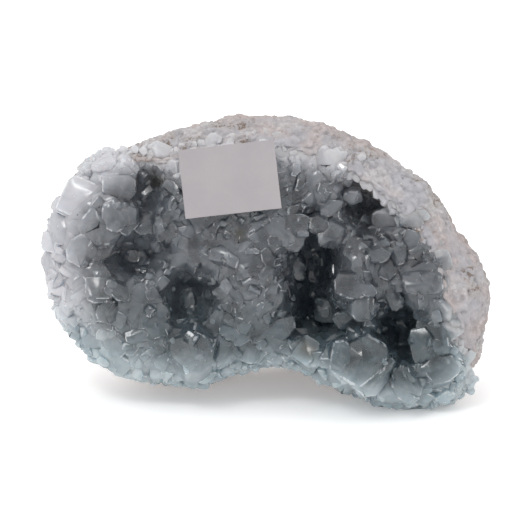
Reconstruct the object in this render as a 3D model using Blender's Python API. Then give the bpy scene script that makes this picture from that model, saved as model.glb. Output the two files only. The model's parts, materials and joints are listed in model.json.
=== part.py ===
"""A celestite geode, made at its real size: a broken piece of a hollow nodule.

A chalky rind is wrapped round a bed of blocky crystals, which line deep pockets.
The rind comes round to the front along the top and the right. Along the left and
the bottom the crystals reach the edge. A blank paper tag is stuck on near the top.

The shape is drawn in the frame of the open face, in millimetres: across to the
right, up along the face, and out of it. The face leans back, and the rind carries
the weight on the spots where its underside is worn flat.
"""

import math
import random

import bmesh
import bpy
import numpy as np
from mathutils import Matrix, Vector, noise

MM = 0.001

# How the face stands
LEAN = math.radians(18)
FACE_HEIGHT = 38.0  # of the face's centre over the surface that the piece rests on

# The outline of the piece, square on to the face: (across, up)
OUTLINE = (
    (-59.8, 2.0), (-59.6, 9.5), (-56.0, 19.0), (-48.2, 26.6), (-37.5, 31.0),
    (-25.0, 34.4), (-12.5, 37.4), (0.0, 39.0), (12.0, 37.8), (25.0, 33.4),
    (36.5, 26.4), (45.6, 17.0), (53.0, 6.2), (57.6, -3.0), (59.0, -11.0),
    (57.6, -21.5), (55.4, -31.0), (51.5, -37.4), (43.5, -39.4), (32.5, -38.4),
    (23.5, -34.8), (14.0, -30.8), (3.5, -29.0), (-7.0, -30.4), (-19.5, -33.4),
    (-33.5, -32.0), (-45.5, -27.2), (-54.0, -18.8), (-58.8, -8.6),
)

# The rind
BACK_DEPTH = 42.0  # from the widest section to the back
FRONT_DEPTH = 14.5  # from the widest section to where the front curve would close
BACK_FULLNESS = 2.8  # 2 is an ellipse, and more is squarer
FRONT_FULLNESS = 2.2
COVERED_FROM = (-42, -18)  # degrees round the face over which the rind comes forward
COVERED_TO = (132, 158)  # and over which it falls back again
RIM_OUT_COVERED = 9.0  # how far out the rim comes along the top and the right
RIM_OUT_BARE = -6.0  # and along the left and the bottom
CRYSTAL_OVERHANG = 3.2  # how far the crystals stand past the rind at the bare edge
RIM_WIDTH = 2.6
LIP_OUT = 1.0  # how far the middle of the rim stands out
LIP_UNEVEN = 1.6
LIP_BREAKS = 7.0  # how often that changes round the rim
WALL_BARE = 6.5
WALL_BACK = 11.0
HEEL = 13.5  # how much fuller the rind is low down on both sides, where it rests
ARCH = 0.35  # the share of that fullness in the arch between them
ARCH_WIDTH = 0.55  # of the arch, as a share of the underside
SOLE = 4.5  # the rind's thickness over the spots where it rests
LUMPS = ((4.4, 17.0), (2.2, 9.0))  # (height, distance between them)
RIDGES = (2.2, 6.5)
RIM_RELIEF = 0.4  # the share of the lumps and ridges that the rim has
RELIEF_FROM = math.radians(35)  # and how far behind the widest section they are full
CHIPS = 7  # flat breaks on the outside of the rind
CHIP_DEPTH = 3.0
CHIP_FLATNESS = 0.9  # 1 is quite flat
CHIP_TURNS = (12, 70)  # degrees behind the widest section
AROUND = 56
THINNING = (4, 2, 2)  # of the points of the rings next to each end
OUTER_RINGS = 15
BOWL_RINGS = 5

# The bed of crystals
FACE_OUT = 10.5
FACE_FULLNESS = 3.2
BED_INSET = 0.9  # of its edge from the rind's outside, where that is bare
BED_BITE = 1.8  # how far it would reach into the rind's wall, before it is cut away
BED_BACK = 2.5  # and into the rind's back
EVEN_EDGE = 0.25  # the share of the face, next to its edge, where the pockets fade out
DEEPEST = 24.0
BED_AROUND = 32
BED_RINGS = 8
GAP = 0.35  # kept between one solid and the next
CLEARANCE = 0.4  # of the lowest crystal over the surface

# Pockets (below 0) and swellings of the bed: (across, up, half width, half height, out)
SHAPES_OF_THE_BED = (
    (13.0, -2.0, 6.5, 13.0, -21.0),  # the deep pocket
    (15.5, -15.5, 9.5, 5.5, -13.0),  # its foot
    (28.5, 17.0, 8.5, 8.5, -15.0),  # the pocket at the upper right
    (36.0, -17.5, 6.5, 8.5, -17.0),  # the pocket at the lower right
    (-20.0, -9.0, 6.5, 7.5, -13.0),  # the pocket at the left of the middle
    (-34.0, 2.0, 8.5, 5.5, -9.0),  # the shallow hollow at the left
    (-30.5, 19.5, 4.5, 8.0, -8.0),  # the cleft at the upper left
    (-46.0, 12.0, 11.0, 12.0, 3.5),  # the left lobe
    (-43.0, -10.0, 9.0, 7.0, 3.0),  # the knuckle under it
    (-2.0, 4.0, 11.0, 17.0, 4.0),  # the middle ridge
    (22.5, -6.5, 5.5, 8.0, 5.5),  # the knob between two pockets
    (24.0, -24.0, 16.0, 7.0, 4.0),  # the shelf of large crystals
    (44.0, -2.0, 9.0, 14.0, 2.0),  # the right flank
)

# The crystals
SEED = 11
HABITS = 9  # different shapes of crystal
TRIES = 5200
SPACING = 0.74  # as a share of two neighbours' mean width
WIDTH = 10.0
WIDTH_LOW_RIGHT = 11.4
WIDTH_RANGE = (0.80, 1.35)  # of one crystal, as a share of the width at its place
THICKNESS_RANGE = (0.70, 0.95)  # as a share of its width
REACH = (0.26, 0.60)  # how far it stands out of the bed, as a share of its width
ROOTED = 0.62  # how far it goes into the bed, as a share of its width
TILT = 0.34  # how far it leans off the bed's own direction
FORWARD = 0.35  # how much it is drawn towards the open face

# The angles of a crystal's faces, in degrees
PRISM_ANGLE = (34, 44)
CHISEL_SLOPE = (38, 58)
END_SLOPE = (35, 62)

FLAT_WITHIN = math.radians(0.4)  # faces this close to one plane are one face

# Crystals that stand out: (across, up, width, thickness, length past the bed, lean right, lean up)
LARGE_CRYSTALS = (
    (-19.8, -19.5, 8.6, 7.0, 10.5, 0.05, 0.75),  # the pointed one below the left pocket
    (21.5, -27.0, 15.0, 11.0, 6.5, 0.10, -0.20),  # the widest, on the shelf
    (9.5, -22.5, 10.5, 8.0, 6.0, -0.15, 0.10),
    (35.5, -30.5, 11.0, 9.0, 6.0, 0.10, -0.35),
    (21.8, -10.5, 9.0, 8.0, 7.5, 0.00, -0.35),
    (25.0, -3.0, 8.5, 7.5, 5.0, 0.20, 0.10),
    (16.5, 8.5, 7.5, 6.5, 6.5, 0.10, -0.60),
    (4.5, 11.5, 9.0, 7.5, 5.0, 0.25, -0.15),
    (33.5, -0.5, 6.0, 5.0, 5.5, -0.05, 0.15),
    (41.5, -24.5, 9.0, 7.0, 5.0, -0.35, 0.25),
    (-40.5, -7.5, 9.0, 7.0, 5.5, 0.35, 0.35),
    (-41.0, 14.0, 9.5, 8.5, 5.0, 0.15, 0.00),
    (43.0, 7.5, 7.5, 6.5, 4.0, -0.20, 0.10),
    (13.5, 23.5, 9.0, 6.0, 5.0, 0.10, -0.40),
)

# The paper tag
TAG_CENTRE = (-9.0, 21.8)
TAG_SIZE = (25.2, 18.0)
TAG_TURN = math.radians(6.4)
TAG_THICKNESS = 0.35
TAG_BOW = 0.5  # how far its two ends curl up
TAG_STEEPEST = 0.35
TAG_MARGIN = 0.02  # of its size round it, where crystals count as under it


def smooth(value):
    """0 below 0, 1 above 1, and an even S between them."""
    value = min(1.0, max(0.0, value))
    return value * value * (3 - 2 * value)


def mix(a, b, share):
    return a + (b - a) * share


def place(across, up, out):
    """A point of the face's own frame as a place in the model, in metres."""
    back = up * math.sin(LEAN) - out * math.cos(LEAN)
    height = FACE_HEIGHT + up * math.cos(LEAN) + out * math.sin(LEAN)
    return Vector((across, back, height)) * MM


def kept_above(point, lowest):
    """The point of the face's frame, lifted straight up if it lies lower than this."""
    height = FACE_HEIGHT + point.y * math.cos(LEAN) + point.z * math.sin(LEAN)
    lift = max(0.0, lowest - height)
    return point + Vector((0, math.cos(LEAN), math.sin(LEAN))) * lift


def turn_to_model():
    """The rotation that takes directions of the face's frame into the model."""
    columns = (
        (1, 0, 0),
        (0, math.sin(LEAN), math.cos(LEAN)),
        (0, -math.cos(LEAN), math.sin(LEAN)),
    )
    return Matrix(columns).transposed()


def outline_table(steps=10):
    """Angles and radii of a smooth closed curve through the outline's points."""
    points = np.array(OUTLINE)
    found = []
    for i in range(len(points)):
        a, b, c, d = (points[(i + k) % len(points)] for k in (-1, 0, 1, 2))
        for t in np.arange(steps) / steps:
            bend = (3 * b - a - 3 * c + d) * t**3 + (2 * a - 5 * b + 4 * c - d) * t**2
            found.append((bend + (c - a) * t + 2 * b) / 2)
    found = np.array(found)
    angles = np.arctan2(found[:, 1], found[:, 0])
    order = np.argsort(angles)
    return angles[order], np.hypot(found[:, 0], found[:, 1])[order]


ANGLES, RADII = outline_table()


def outline_radius(theta):
    return float(np.interp(theta, ANGLES, RADII, period=2 * math.pi))


def covered(theta):
    """1 where the rind comes round to the front, 0 where the crystals reach the edge."""
    degrees = (math.degrees(theta) + 180) % 360 - 180
    forward, back = (
        smooth((degrees - start) / (end - start)) for start, end in (COVERED_FROM, COVERED_TO)
    )
    return forward * (1 - back)


def rim_out(theta):
    return mix(RIM_OUT_BARE, RIM_OUT_COVERED, covered(theta))


def rind_radius(theta):
    return outline_radius(theta) - CRYSTAL_OVERHANG * (1 - covered(theta))


def rim_radius(theta):
    """The radius of the rind's outside at its rim."""
    out = rim_out(theta)
    depth, fullness = (
        (FRONT_DEPTH, FRONT_FULLNESS) if out > 0 else (BACK_DEPTH, BACK_FULLNESS)
    )
    share = (1 - (abs(out) / depth) ** fullness) ** (1 / fullness)
    return rind_radius(theta) * share


def bowl_radius(theta):
    """The radius of the bowl inside the rind, at the rim."""
    return rim_radius(theta) - mix(WALL_BARE, RIM_WIDTH, covered(theta))


def rim_angle(theta):
    """Where the rim lies on the rind's section, from the widest point, front below 0."""
    out = rim_out(theta)
    if out > 0:
        return -math.asin((out / FRONT_DEPTH) ** (FRONT_FULLNESS / 2))
    return math.asin((-out / BACK_DEPTH) ** (BACK_FULLNESS / 2))


def rind_outside(theta, turn):
    """(radius, out) of the rind's section at an angle: a quarter turn is the back."""
    if turn < 0:
        power = 2 / FRONT_FULLNESS
        return (
            rind_radius(theta) * math.cos(turn) ** power,
            FRONT_DEPTH * math.sin(-turn) ** power,
        )
    power = 2 / BACK_FULLNESS
    beside = mix(ARCH, 1.0, smooth(abs(math.cos(theta)) / ARCH_WIDTH))
    heel = HEEL * max(0.0, -math.sin(theta)) * beside * math.sin(2 * turn) ** 2
    return (
        rind_radius(theta) * max(0.0, math.cos(turn)) ** power + heel,
        -BACK_DEPTH * math.sin(turn) ** power,
    )


def bowl_section(theta, turn):
    """(radius, out) of the bowl's section: 0 is the rim and a quarter turn its floor."""
    power = 2 / BACK_FULLNESS
    top = rim_out(theta)
    depth = BACK_DEPTH - WALL_BACK + top
    return (
        bowl_radius(theta) * max(0.0, math.cos(turn)) ** power,
        top - depth * math.sin(turn) ** power,
    )


def roughness_at(point):
    """How far the rind stands out at a point: broad lumps, then ridges and pits."""
    total = 0.0
    for number, (height, apart) in enumerate(LUMPS):
        total += height * noise.noise(point / apart + Vector((7, 1, 3)) * number)
    height, apart = RIDGES
    return total + height * (0.5 - 2 * abs(noise.noise(point / apart + Vector((2, 9, 4)))))


def around_face(theta, radius, out):
    """A point of the face's frame, from its angle and its distance from the middle."""
    return Vector((radius * math.cos(theta), radius * math.sin(theta), out))


def outside_point(theta, turn):
    return around_face(theta, *rind_outside(theta, turn))


def outside_normal(theta, turn):
    """The way out of the rind at a place on its smooth section."""
    step = 0.03
    turn = min(turn, math.pi / 2 - 4 * step)
    around = outside_point(theta + step, turn) - outside_point(theta - step, turn)
    backward = outside_point(theta, turn + step) - outside_point(theta, turn - step)
    return backward.cross(around).normalized()


def chip_planes():
    """Where the rind is chipped flat: the way out of each break, and its distance."""
    draw = random.Random(SEED + 1)
    planes = []
    for number in range(CHIPS):
        theta = 2 * math.pi * (number + draw.random()) / CHIPS
        turn = math.radians(draw.uniform(*CHIP_TURNS))
        way = outside_normal(theta, turn)
        depth = draw.uniform(0.4, 1.0) * CHIP_DEPTH
        planes.append((way, outside_point(theta, turn).dot(way) - depth))
    return planes


def chipped(point, planes):
    """The point, brought down to the break if it would stand out of one."""
    for way, reach in planes:
        over = min(CHIP_DEPTH, point.dot(way) - reach)
        if over > 0:
            point = point - way * over * CHIP_FLATNESS
    return point


def weathered(theta, turn, planes):
    """The place on the rind's outside with its lumps, its chips and its worn sole."""
    even = outside_point(theta, turn)
    rough = roughness_at(even) * mix(RIM_RELIEF, 1.0, smooth(turn / RELIEF_FROM))
    lumpy = even + outside_normal(theta, turn) * rough
    return kept_above(chipped(lumpy, planes), 0.0)


def lip_point(theta):
    """The middle of the rind's rim."""
    uneven = noise.noise(Vector((math.cos(theta), math.sin(theta), 0)) * LIP_BREAKS)
    out = rim_out(theta) + LIP_OUT + LIP_UNEVEN * uneven
    radius = (rim_radius(theta) + bowl_radius(theta)) / 2
    return kept_above(around_face(theta, radius, out), SOLE / 2)


def rind_rings():
    """The rind's rings, from the back over the outside to the rim and down the bowl."""
    thetas = [2 * math.pi * k / AROUND for k in range(AROUND)]
    planes = chip_planes()
    rings = []
    for i in range(1, OUTER_RINGS + 1):
        share = (i / OUTER_RINGS) ** 0.8
        rings.append(
            [
                weathered(theta, mix(math.pi / 2, rim_angle(theta), share), planes)
                for theta in thetas
            ]
        )
    rings.append([lip_point(theta) for theta in thetas])
    for i in range(BOWL_RINGS):
        turn = math.pi / 2 * i / BOWL_RINGS
        rings.append(
            [
                kept_above(around_face(theta, *bowl_section(theta, turn)), SOLE)
                for theta in thetas
            ]
        )
    return rings


def thin_end(bm, loops):
    """Joins neighbouring points of the rings next to an end, so that it is no star."""
    joined = {}
    for loop, every in zip(loops, THINNING):
        for k, vertex in enumerate(loop):
            if k % every:
                joined[vertex] = loop[k - k % every]
    bmesh.ops.weld_verts(bm, targetmap=joined)


def swell(bm, distance):
    """Moves the whole surface outwards by a distance."""
    bm.normal_update()
    moves = [vertex.normal * min(2.0, vertex.calc_shell_factor()) for vertex in bm.verts]
    for vertex, move in zip(bm.verts, moves):
        vertex.co += move * distance


def closed_from_rings(name, rings, first, last, thin_last=True, grow=0.0):
    """A closed mesh object through rings of points, with a point at each end."""
    mesh = bpy.data.meshes.new(name)
    bm = bmesh.new()
    loops = [[bm.verts.new(place(*point)) for point in ring] for ring in rings]
    ends = [bm.verts.new(place(*first)), bm.verts.new(place(*last))]
    count = len(rings[0])
    for k in range(count):
        following = (k + 1) % count
        bm.faces.new((ends[0], loops[0][k], loops[0][following]))
        bm.faces.new((ends[1], loops[-1][following], loops[-1][k]))
        for near, far in zip(loops, loops[1:]):
            bm.faces.new((near[k], far[k], far[following]))
            bm.faces.new((near[k], far[following], near[following]))
    thin_end(bm, loops)
    if thin_last:
        thin_end(bm, loops[::-1])
    bmesh.ops.recalc_face_normals(bm, faces=bm.faces[:])
    swell(bm, grow * MM)
    bm.to_mesh(mesh)
    bm.free()
    made = bpy.data.objects.new(name, mesh)
    bpy.context.collection.objects.link(made)
    return made


def rind(name, grow=0.0):
    """The nodule's wall, worn flat where it would go below the surface."""
    floor = Vector((0, 0, -BACK_DEPTH + WALL_BACK))
    back = Vector((0, 0, -BACK_DEPTH))
    back.z -= roughness_at(back)
    return closed_from_rings(name, rind_rings(), back, floor, grow=grow)


def bed_relief(across, up):
    """How far the pockets and swellings move the bed at a place on the face."""
    total = 0.0
    for x, y, half_width, half_height, out in SHAPES_OF_THE_BED:
        reach = ((across - x) / half_width) ** 2 + ((up - y) / half_height) ** 2
        total += out * math.exp(-(reach**1.4))
    return max(total, -DEEPEST)


def bed_radius(theta):
    """The bed's own edge: just past the bowl's edge, or where that is bare the rind's."""
    bare = rim_radius(theta) - BED_INSET
    return mix(bare, bowl_radius(theta) + BED_BITE, covered(theta))


def bed_point(theta, share):
    """A point of the bed's front: share 0 is the middle of the face and 1 its edge."""
    power = 2 / FACE_FULLNESS
    turn = share * math.pi / 2
    radius = bed_radius(theta) * math.sin(turn) ** power
    edge = rim_out(theta) - 0.5
    out = edge + (FACE_OUT - edge) * max(0.0, math.cos(turn)) ** power
    point = around_face(theta, radius, out)
    point.z += bed_relief(point.x, point.y) * smooth((1 - share) / EVEN_EDGE)
    return point


def bed_normal(theta, share):
    """The way out of the bed at a point of its front."""
    step = 0.02
    share = min(1 - step, max(step, share))
    around = bed_point(theta + step, share) - bed_point(theta - step, share)
    outward = bed_point(theta, share + step) - bed_point(theta, share - step)
    return outward.cross(around).normalized()


def bed(name):
    """The solid mass that the crystals grow from. Its back ends inside the rind's wall."""
    thetas = [2 * math.pi * k / BED_AROUND for k in range(BED_AROUND)]
    rings = []
    for i in range(1, BOWL_RINGS):
        ring = []
        for theta in thetas:
            radius, out = bowl_section(theta, math.pi / 2 * (1 - i / BOWL_RINGS))
            ring.append(around_face(theta, radius + BED_BITE, out - BED_BACK))
        rings.append(ring)
    for i in range(BED_RINGS):
        rings.append([bed_point(theta, 1 - i / BED_RINGS) for theta in thetas])
    back = Vector((0, 0, -BACK_DEPTH + WALL_BACK - BED_BACK))
    middle = bed_point(0.0, 0.0)
    return closed_from_rings(name, rings, back, middle, thin_last=False)


def bed_share(across, up):
    """The angle and the share at which the bed's front has a place on the face."""
    theta = math.atan2(up, across)
    share = (math.hypot(across, up) / bed_radius(theta)) ** (FACE_FULLNESS / 2)
    return theta, math.asin(min(0.999, share)) / (math.pi / 2)


def crystal_width(across, up, chance):
    """Crystals are finer at the left and the top, and coarser low on the right."""
    low_right = smooth((across + 15) / 55) * smooth((12 - up) / 40)
    return mix(WIDTH, WIDTH_LOW_RIGHT, low_right) * mix(*WIDTH_RANGE, chance * chance)


def crystal_sites():
    """Where each crystal stands: (point, direction, width, thickness, length, spin, habit)."""
    draw = random.Random(SEED)
    sites = []
    for x, y, width, thick, length, right, rise in LARGE_CRYSTALS:
        way = Vector((right, rise, 1.0)).normalized()
        spin = draw.uniform(0, math.pi)
        root = bed_point(*bed_share(x, y))
        sites.append((root, way, width, thick, length, spin, len(sites) % HABITS))
    for _ in range(TRIES):
        theta = draw.uniform(-math.pi, math.pi)
        share = draw.random() ** 0.6
        chance, spin, habit = draw.random(), draw.uniform(0, math.pi), draw.randrange(HABITS)
        lean = Vector([draw.uniform(-TILT, TILT) for _ in range(3)])
        reach = draw.uniform(*REACH)
        root = bed_point(theta, share)
        width = crystal_width(root.x, root.y, chance)
        if any(
            (root - other[0]).length < SPACING * (width + other[2]) / 2 for other in sites
        ):
            continue
        forward = Vector((0, 0, FORWARD))
        way = (bed_normal(theta, share) + forward + lean).normalized()
        thick = width * mix(*THICKNESS_RANGE, chance)
        sites.append((root, way, width, thick, width * reach, spin, habit))
    return sites


def habit_mesh(number):
    """One shape of crystal, a unit across and high: a cut prism with a chisel tip."""
    draw = random.Random(100 + number)
    bm = bmesh.new()
    bmesh.ops.create_cube(bm, size=1.0)
    prism = math.radians(draw.uniform(*PRISM_ANGLE))
    cuts = []
    for side, end in ((-1, -1), (1, 1), (-1, 1), (1, -1))[: draw.choice((2, 4, 4))]:
        normal = Vector((side * math.cos(prism), end * math.sin(prism), 0))
        cuts.append((normal * draw.uniform(0.44, 0.52), normal))
    for side in (-1, 1):
        slope = math.radians(draw.uniform(*CHISEL_SLOPE))
        normal = Vector((side * math.sin(slope), 0, math.cos(slope)))
        top = Vector((0.04 * side, 0, 0.5 + draw.uniform(-0.06, 0.08)))
        cuts.append((top, normal))
    for end in (-1, 1):
        slope = math.radians(draw.uniform(*END_SLOPE))
        normal = Vector((0, end * math.sin(slope), math.cos(slope)))
        top = Vector((0, 0.16 * end, 0.5 + draw.uniform(-0.10, 0.02)))
        cuts.append((top, normal))
    for corner, normal in cuts:
        parts = bm.verts[:] + bm.edges[:] + bm.faces[:]
        cut = bmesh.ops.bisect_plane(
            bm, geom=parts, plane_co=corner, plane_no=normal, clear_outer=True
        )
        rim = [part for part in cut["geom_cut"] if isinstance(part, bmesh.types.BMEdge)]
        if len(rim) > 2:
            bmesh.ops.contextual_create(bm, geom=rim)
    bmesh.ops.recalc_face_normals(bm, faces=bm.faces[:])
    mesh = bpy.data.meshes.new(f"habit_{number}")
    bm.to_mesh(mesh)
    bm.free()
    return mesh


def site_matrix(site):
    """The unit crystal's place: its foot in the bed, its tip out at the site's length."""
    root, way, width, thick, length, spin, _ = site
    rooted = ROOTED * width
    middle = root + way * (length - rooted) / 2
    turned = way.to_track_quat("Z", "Y").to_matrix() @ Matrix.Rotation(spin, 3, "Z")
    sized = Matrix.Diagonal((width, thick, length + rooted))
    linear = (turn_to_model() @ turned @ sized) * MM
    return Matrix.Translation(place(*middle)) @ linear.to_4x4()


def crystals(name, sites):
    """All the crystals as one helper mesh, each one a closed shape of its own."""
    habits = [habit_mesh(number) for number in range(HABITS)]
    bm = bmesh.new()
    for site in sites:
        copy = habits[site[-1]].copy()
        copy.transform(site_matrix(site))
        bm.from_mesh(copy)
        bpy.data.meshes.remove(copy)
    mesh = bpy.data.meshes.new(name)
    bm.to_mesh(mesh)
    bm.free()
    made = bpy.data.objects.new(name, mesh)
    bpy.context.collection.objects.link(made)
    return made


def block_below(name, height):
    """A helper block that fills the space under a height."""
    bpy.ops.mesh.primitive_cube_add(size=0.3, location=(0, 0, height - 0.15))
    made = bpy.context.object
    made.name = name
    return made


def boolean(target, helper, operation):
    """Joins a helper to the target or cuts it away, and keeps the helper out of the model."""
    modifier = target.modifiers.new(f"{operation} {helper.name}", "BOOLEAN")
    modifier.operation = operation
    modifier.solver = "EXACT"
    modifier.object = helper
    modifier.use_self = operation == "UNION"
    helper.hide_render = True
    helper.display_type = "WIRE"


def island_from(start, seen):
    """The vertices that are joined to one vertex, itself among them."""
    found, waiting = [], [start]
    seen.add(start)
    while waiting:
        vertex = waiting.pop()
        found.append(vertex)
        for edge in vertex.link_edges:
            other = edge.other_vert(vertex)
            if other not in seen:
                seen.add(other)
                waiting.append(other)
    return found


def settle(made):
    """Applies the Booleans, drops the chips that they cut off, and joins flat faces."""
    graph = bpy.context.evaluated_depsgraph_get()
    mesh = bpy.data.meshes.new_from_object(made.evaluated_get(graph))
    made.modifiers.clear()
    made.data = mesh
    bm = bmesh.new()
    bm.from_mesh(mesh)
    seen, islands = set(), []
    for vertex in bm.verts:
        if vertex not in seen:
            islands.append(island_from(vertex, seen))
    islands.sort(key=len)
    chips = [vertex for island in islands[:-1] for vertex in island]
    bmesh.ops.delete(bm, geom=chips, context="VERTS")
    bmesh.ops.dissolve_limit(
        bm, angle_limit=FLAT_WITHIN, verts=bm.verts[:], edges=bm.edges[:]
    )
    bm.to_mesh(mesh)
    bm.free()


def in_face_frame(point):
    """A place in the model, in metres, as (across, up, out) on the face."""
    moved = point / MM - Vector((0, 0, FACE_HEIGHT))
    return turn_to_model().transposed() @ moved


def on_tag(across, up):
    """Where a place on the face lies on the tag, from -0.5 to 0.5 each way."""
    x, y = across - TAG_CENTRE[0], up - TAG_CENTRE[1]
    return (
        (x * math.cos(TAG_TURN) + y * math.sin(TAG_TURN)) / TAG_SIZE[0],
        (y * math.cos(TAG_TURN) - x * math.sin(TAG_TURN)) / TAG_SIZE[1],
    )


def points_under_tag(crust):
    """Points along the crystals' edges behind the tag: (across, up, out) from its centre."""
    found = []
    for edge in crust.data.edges:
        ends = [in_face_frame(crust.data.vertices[k].co) for k in edge.vertices]
        for step in range(9):
            point = ends[0].lerp(ends[1], step / 8)
            if max(map(abs, on_tag(point.x, point.y))) < 0.5 + TAG_MARGIN:
                found.append((point.x - TAG_CENTRE[0], point.y - TAG_CENTRE[1], point.z))
    return np.array(found)


def tag_rest(crust):
    """How the tag lies flat on the crystals' tips: its slopes across and up, and its place out."""
    points = points_under_tag(crust)
    best = None
    slopes = np.linspace(-TAG_STEEPEST, TAG_STEEPEST, 41)
    for rise_across in slopes:
        for rise_up in slopes:
            sloped = rise_across * points[:, 0] + rise_up * points[:, 1]
            out = float((points[:, 2] - sloped).max())
            if best is None or out < best[2]:
                best = (float(rise_across), float(rise_up), out)
    return best


def paper_tag(name, rest):
    """A slip of paper, a little bowed, turned on the face as it was stuck on."""
    rise_across, rise_up, out = rest
    bm = bmesh.new()
    bmesh.ops.create_grid(bm, x_segments=8, y_segments=1, size=0.5)
    for vertex in bm.verts:
        x, y = vertex.co.x * TAG_SIZE[0], vertex.co.y * TAG_SIZE[1]
        across = x * math.cos(TAG_TURN) - y * math.sin(TAG_TURN)
        up = x * math.sin(TAG_TURN) + y * math.cos(TAG_TURN)
        bow = TAG_BOW * (2 * vertex.co.x) ** 2
        height = out + GAP + bow + rise_across * across + rise_up * up
        vertex.co = place(TAG_CENTRE[0] + across, TAG_CENTRE[1] + up, height)
    bmesh.ops.recalc_face_normals(bm, faces=bm.faces[:])
    mesh = bpy.data.meshes.new(name)
    bm.to_mesh(mesh)
    bm.free()
    made = bpy.data.objects.new(name, mesh)
    bpy.context.collection.objects.link(made)
    thicken = made.modifiers.new("paper", "SOLIDIFY")
    thicken.thickness = TAG_THICKNESS * MM
    thicken.offset = 1.0
    return made


def material(name, colour, roughness):
    made = bpy.data.materials.new(name)
    made.use_nodes = True
    shader = made.node_tree.nodes["Principled BSDF"]
    shader.inputs["Base Color"].default_value = (*colour, 1.0)
    shader.inputs["Roughness"].default_value = roughness
    shader.inputs["Metallic"].default_value = 0.0
    return made


def centre_over_origin(objects):
    """Moves everything so that the model's box stands centred on the origin."""
    graph = bpy.context.evaluated_depsgraph_get()
    corners = []
    for one in objects:
        if not one.hide_render:
            corners += [
                one.matrix_world @ Vector(corner)
                for corner in one.evaluated_get(graph).bound_box
            ]
    low = Vector([min(corner[axis] for corner in corners) for axis in range(3)])
    high = Vector([max(corner[axis] for corner in corners) for axis in range(3)])
    middle = (low + high) / 2
    for one in objects:
        one.location.x -= middle.x
        one.location.y -= middle.y


def main():
    for old in list(bpy.data.objects):
        bpy.data.objects.remove(old)
    shell = rind("rind")
    crust = bed("crystal_crust")
    boolean(crust, crystals("loose_crystals", crystal_sites()), "UNION")
    boolean(crust, rind("rind_with_gap", grow=GAP), "DIFFERENCE")
    boolean(crust, block_below("space_below", CLEARANCE * MM), "DIFFERENCE")
    settle(crust)
    tag = paper_tag("paper_tag", tag_rest(crust))
    shell.data.materials.append(material("chalky rind", (0.62, 0.59, 0.55), 0.85))
    crust.data.materials.append(material("celestite", (0.50, 0.58, 0.64), 0.18))
    tag.data.materials.append(material("paper", (0.66, 0.62, 0.63), 0.6))
    centre_over_origin(bpy.data.objects[:])


if __name__ == "__main__":
    main()
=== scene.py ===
"""A celestite geode with a blank paper tag, on a pale floor in soft studio light.

Places on the open face are in millimetres: across to the right, up along the face,
and out of it. in_model() turns them into places in the frame, in metres.
"""

import itertools
import json
import math
import random

import bpy
import numpy as np
from mathutils import Matrix, Vector, noise

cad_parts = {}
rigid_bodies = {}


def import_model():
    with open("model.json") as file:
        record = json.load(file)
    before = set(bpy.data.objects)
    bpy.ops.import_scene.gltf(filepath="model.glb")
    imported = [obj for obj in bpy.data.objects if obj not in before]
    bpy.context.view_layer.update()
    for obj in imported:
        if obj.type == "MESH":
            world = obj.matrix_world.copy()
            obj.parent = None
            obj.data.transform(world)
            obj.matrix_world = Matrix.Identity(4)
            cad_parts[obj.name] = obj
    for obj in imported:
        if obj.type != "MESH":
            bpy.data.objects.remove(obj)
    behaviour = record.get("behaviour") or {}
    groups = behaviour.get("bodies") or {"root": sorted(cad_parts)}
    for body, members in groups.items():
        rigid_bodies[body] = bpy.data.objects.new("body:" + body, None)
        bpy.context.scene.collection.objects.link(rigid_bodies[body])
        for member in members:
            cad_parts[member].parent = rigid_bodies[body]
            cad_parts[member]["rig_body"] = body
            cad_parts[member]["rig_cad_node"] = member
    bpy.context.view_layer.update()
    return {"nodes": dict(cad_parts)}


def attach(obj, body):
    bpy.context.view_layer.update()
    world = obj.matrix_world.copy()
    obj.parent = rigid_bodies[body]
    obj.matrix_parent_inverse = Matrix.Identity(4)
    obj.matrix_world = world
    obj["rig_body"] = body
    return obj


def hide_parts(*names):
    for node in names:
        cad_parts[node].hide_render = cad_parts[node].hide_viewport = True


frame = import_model()

MM = 0.001

# The open face of the geode, as the frame stands
LEAN = math.radians(18)
FACE_CENTRE = Vector((0.454, -9.342, 38.0)) * MM
ACROSS = Vector((1, 0, 0))
UP = Vector((0, math.sin(LEAN), math.cos(LEAN)))
OUT = Vector((0, -math.cos(LEAN), math.sin(LEAN)))
FACE_TO_MODEL = Matrix((ACROSS, UP, OUT)).transposed()
OUT_OF_FACE = Vector((0, 0, 1))

# The photograph: its size, what one pixel of it covers at the face, and its centre
PICTURE = 530
PIXEL = 0.264 * MM
FACE_CENTRE_AT = (264.3, 263.0)
CAMERA_DISTANCE = 1.2
SENSOR_WIDTH = 36
FARTHEST_SEEN = 100

# The outline of the piece, square on to the face: (across, up)
OUTLINE = (
    (-59.8, 2.0), (-59.6, 9.5), (-56.0, 19.0), (-48.2, 26.6), (-37.5, 31.0),
    (-25.0, 34.4), (-12.5, 37.4), (0.0, 39.0), (12.0, 37.8), (25.0, 33.4),
    (36.5, 26.4), (45.6, 17.0), (53.0, 6.2), (57.6, -3.0), (59.0, -11.0),
    (57.6, -21.5), (55.4, -31.0), (51.5, -37.4), (43.5, -39.4), (32.5, -38.4),
    (23.5, -34.8), (14.0, -30.8), (3.5, -29.0), (-7.0, -30.4), (-19.5, -33.4),
    (-33.5, -32.0), (-45.5, -27.2), (-54.0, -18.8), (-58.8, -8.6),
)

# The rind, and the bowl inside it
BACK_DEPTH, FRONT_DEPTH = 42.0, 14.5
BACK_FULLNESS, FRONT_FULLNESS = 2.8, 2.2
COVERED_FROM, COVERED_TO = (-42, -18), (132, 158)
RIM_OUT_COVERED, RIM_OUT_BARE = 9.0, -6.0
CRYSTAL_OVERHANG = 3.2
RIM_WIDTH, WALL_BARE, WALL_BACK = 2.6, 6.5, 11.0

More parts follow.
